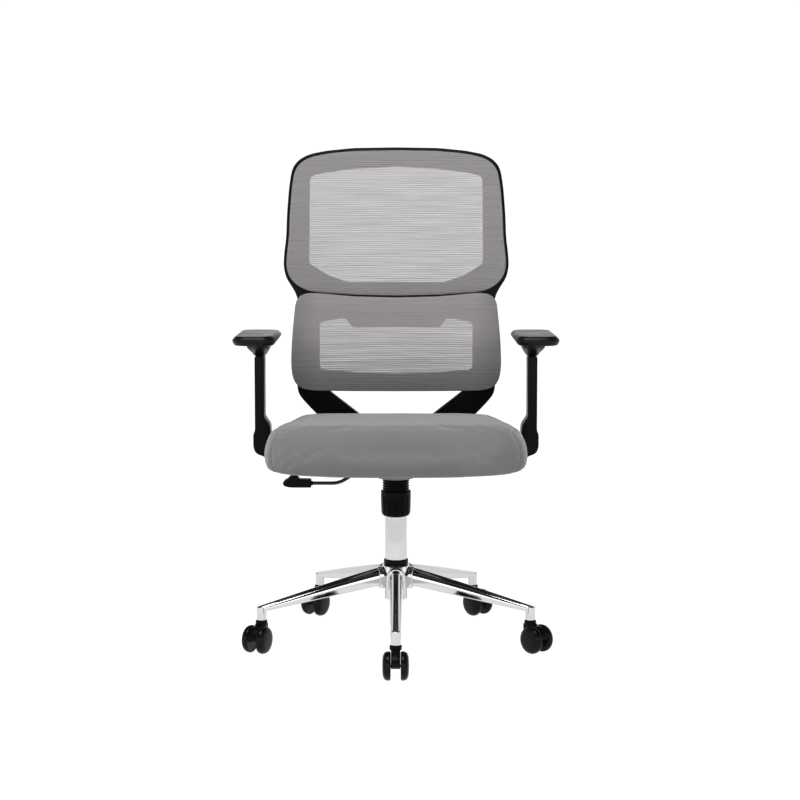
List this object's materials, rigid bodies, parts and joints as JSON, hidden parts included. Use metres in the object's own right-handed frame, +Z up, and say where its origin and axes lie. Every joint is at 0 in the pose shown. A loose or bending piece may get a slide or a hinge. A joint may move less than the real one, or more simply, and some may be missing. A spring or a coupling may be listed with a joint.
{
  "type": "office chair",
  "caption": "Swivel task chair with a see-through mesh back, separate lumbar panel, padded fabric seat, height-adjustable arms, tilt and gas lift, on a chrome caster base.",
  "frame": {"origin": "on the floor under the axis of the column", "axes": "+Z up, -Y the way the sitter faces, +X to the sitter's left"},
  "size_m": [0.71, 0.72, 1.11],
  "materials": {
    "chrome": "polished chrome plate",
    "bare_steel": "zinc-plated steel",
    "grey_steel": "grey powder coat",
    "black_metal": "black satin coat",
    "black_plastic": "black nylon, fine grain",
    "wheel_plastic": "black nylon, satin",
    "grey_plastic": "grey plastic, satin",
    "pad_rubber": "soft-touch polyurethane, pebble grain",
    "carrier_plastic": "dark grey moulded plastic",
    "back_mesh": "grey knitted mesh, see-through",
    "seat_fabric": "grey woven upholstery",
    "seat_board": "black moulded shell"
  },
  "bodies": {
    "base": {"base_star": "chrome", "hub_ring": "black_plastic", "column_tube": "chrome", "column_bush": "black_plastic", "thrust_bearing": "bare_steel", "caster_1_stem": "bare_steel", "caster_2_stem": "bare_steel", "caster_3_stem": "bare_steel", "caster_4_stem": "bare_steel", "caster_5_stem": "bare_steel"},
    "caster_1": {"caster_1_hood": "black_plastic", "caster_1_axle": "bare_steel"},
    "wheel_1_left": {"caster_1_wheel_left": "wheel_plastic"},
    "wheel_1_right": {"caster_1_wheel_right": "wheel_plastic"},
    "caster_2": {"caster_2_hood": "black_plastic", "caster_2_axle": "bare_steel"},
    "wheel_2_left": {"caster_2_wheel_left": "wheel_plastic"},
    "wheel_2_right": {"caster_2_wheel_right": "wheel_plastic"},
    "caster_3": {"caster_3_hood": "black_plastic", "caster_3_axle": "bare_steel"},
    "wheel_3_left": {"caster_3_wheel_left": "wheel_plastic"},
    "wheel_3_right": {"caster_3_wheel_right": "wheel_plastic"},
    "caster_4": {"caster_4_hood": "black_plastic", "caster_4_axle": "bare_steel"},
    "wheel_4_left": {"caster_4_wheel_left": "wheel_plastic"},
    "wheel_4_right": {"caster_4_wheel_right": "wheel_plastic"},
    "caster_5": {"caster_5_hood": "black_plastic", "caster_5_axle": "bare_steel"},
    "wheel_5_left": {"caster_5_wheel_left": "wheel_plastic"},
    "wheel_5_right": {"caster_5_wheel_right": "wheel_plastic"},
    "rod": {"piston_rod": "bare_steel"},
    "mechanism": {"gas_cylinder": "black_metal", "tilt_housing": "grey_steel", "tilt_pin": "bare_steel", "spring_sleeve": "black_plastic", "tension_spring": "bare_steel"},
    "release": {"release_pin": "bare_steel"},
    "draw_bolt": {"tension_bolt": "bare_steel"},
    "spring_carrier": {"spring_seat": "bare_steel"},
    "knob": {"tension_knob": "black_plastic"},
    "lock": {"lock_bar": "bare_steel"},
    "lever": {"lever_rod": "black_metal", "lever_paddle": "black_plastic"},
    "seat": {"seat_plate": "grey_steel", "seat_board": "seat_board", "seat_cushion": "seat_fabric", "back_frame": "black_plastic", "back_bracket": "grey_steel", "upper_carrier": "carrier_plastic", "upper_mesh": "back_mesh", "lumbar_carrier": "carrier_plastic", "lumbar_mesh": "back_mesh", "arm_support_left": "black_plastic", "arm_support_right": "black_plastic"},
    "arm_left": {"arm_head_left": "black_plastic", "arm_pad_left": "pad_rubber"},
    "button_left": {"arm_button_left": "grey_plastic"},
    "arm_right": {"arm_head_right": "black_plastic", "arm_pad_right": "pad_rubber"},
    "button_right": {"arm_button_right": "grey_plastic"}
  },
  "joints": [
    {"name": "caster_1_swivel", "type": "hinge", "parent": "base", "child": "caster_1", "pos_m": [0, -0.31, 0.06], "axis": [0, 0, 1], "continuous": true},
    {"name": "wheel_1_left_spin", "type": "hinge", "parent": "caster_1", "child": "wheel_1_left", "pos_m": [0, -0.33, 0.03], "axis": [1, 0, 0], "continuous": true},
    {"name": "wheel_1_right_spin", "type": "hinge", "parent": "caster_1", "child": "wheel_1_right", "pos_m": [0, -0.33, 0.03], "axis": [1, 0, 0], "continuous": true},
    {"name": "caster_2_swivel", "type": "hinge", "parent": "base", "child": "caster_2", "pos_m": [0.29483, -0.0958, 0.06], "axis": [0, 0, 1], "continuous": true},
    {"name": "wheel_2_left_spin", "type": "hinge", "parent": "caster_2", "child": "wheel_2_left", "pos_m": [0.30782, -0.111, 0.03], "axis": [0.7604, 0.6494, 0], "continuous": true},
    {"name": "wheel_2_right_spin", "type": "hinge", "parent": "caster_2", "child": "wheel_2_right", "pos_m": [0.30782, -0.111, 0.03], "axis": [0.7604, 0.6494, 0], "continuous": true},
    {"name": "caster_3_swivel", "type": "hinge", "parent": "base", "child": "caster_3", "pos_m": [0.18221, 0.25079, 0.06], "axis": [0, 0, 1], "continuous": true},
    {"name": "wheel_3_left_spin", "type": "hinge", "parent": "caster_3", "child": "wheel_3_left", "pos_m": [0.19422, 0.2348, 0.03], "axis": [0.7997, 0.6004, 0], "continuous": true},
    {"name": "wheel_3_right_spin", "type": "hinge", "parent": "caster_3", "child": "wheel_3_right", "pos_m": [0.19422, 0.2348, 0.03], "axis": [0.7997, 0.6004, 0], "continuous": true},
    {"name": "caster_4_swivel", "type": "hinge", "parent": "base", "child": "caster_4", "pos_m": [-0.18221, 0.25079, 0.06], "axis": [0, 0, 1], "continuous": true},
    {"name": "wheel_4_left_spin", "type": "hinge", "parent": "caster_4", "child": "wheel_4_left", "pos_m": [-0.19218, 0.23346, 0.03], "axis": [0.8669, -0.4985, 0], "continuous": true},
    {"name": "wheel_4_right_spin", "type": "hinge", "parent": "caster_4", "child": "wheel_4_right", "pos_m": [-0.19218, 0.23346, 0.03], "axis": [0.8669, -0.4985, 0], "continuous": true},
    {"name": "caster_5_swivel", "type": "hinge", "parent": "base", "child": "caster_5", "pos_m": [-0.29483, -0.0958, 0.06], "axis": [0, 0, 1], "continuous": true},
    {"name": "wheel_5_left_spin", "type": "hinge", "parent": "caster_5", "child": "wheel_5_left", "pos_m": [-0.30306, -0.11402, 0.03], "axis": [0.9114, -0.4115, 0], "continuous": true},
    {"name": "wheel_5_right_spin", "type": "hinge", "parent": "caster_5", "child": "wheel_5_right", "pos_m": [-0.30306, -0.11402, 0.03], "axis": [0.9114, -0.4115, 0], "continuous": true},
    {"name": "seat_swivel", "type": "hinge", "parent": "base", "child": "rod", "pos_m": [0, 0, 0.2], "axis": [0, 0, 1], "continuous": true},
    {"name": "gas_lift", "type": "slide", "parent": "rod", "child": "mechanism", "axis": [0, 0, 1], "range_m": [-0.055, 0.025]},
    {"name": "pin_press", "type": "slide", "parent": "mechanism", "child": "release", "axis": [0, 0, -1], "range_m": [0, 0.0032]},
    {"name": "bolt_draw", "type": "slide", "parent": "mechanism", "child": "draw_bolt", "axis": [0, 0, 1], "range_m": [0, 0.0208]},
    {"name": "knob_travel", "type": "slide", "parent": "draw_bolt", "child": "spring_carrier", "axis": [0, 0, 1], "range_m": [-0.0051, 0.0051], "deforming": ["tension_spring"]},
    {"name": "knob_turn", "type": "hinge", "parent": "spring_carrier", "child": "knob", "pos_m": [0, -0.078, 0.325], "axis": [0, 0, 1], "range_deg": [-360, 360]},
    {"name": "tilt_lock", "type": "slide", "parent": "mechanism", "child": "lock", "axis": [-1, 0, 0], "range_m": [0, 0.012]},
    {"name": "lever_lift", "type": "hinge", "parent": "lock", "child": "lever", "pos_m": [-0.023, 0, 0.3945], "axis": [0, 1, 0], "range_deg": [0, 5], "stiffness_Nm_per_rad": 3, "springref_deg": -5.73},
    {"name": "tilt", "type": "hinge", "parent": "mechanism", "child": "seat", "pos_m": [0, 0.04, 0.392], "axis": [-1, 0, 0], "range_deg": [0, 10], "stiffness_Nm_per_rad": 80, "springref_deg": -22.92},
    {"name": "arm_left_height", "type": "slide", "parent": "seat", "child": "arm_left", "axis": [0, 0, 1], "range_m": [0, 0.07]},
    {"name": "button_left_press", "type": "slide", "parent": "arm_left", "child": "button_left", "axis": [-1, 0, 0], "range_m": [0, 0.0025], "stiffness_N_per_m": 400, "springref_m": -0.002},
    {"name": "arm_right_height", "type": "slide", "parent": "seat", "child": "arm_right", "axis": [0, 0, 1], "range_m": [0, 0.07]},
    {"name": "button_right_press", "type": "slide", "parent": "arm_right", "child": "button_right", "axis": [1, 0, 0], "range_m": [0, 0.0025], "stiffness_N_per_m": 400, "springref_m": -0.002}
  ],
  "couplings": [
    {"joint": "pin_press", "follows": "lever_lift", "m_per_rad": 0.035},
    {"joint": "bolt_draw", "follows": "tilt", "m_per_rad": 0.118},
    {"joint": "knob_travel", "follows": "knob_turn", "m_per_rad": 0.00079577}
  ]
}
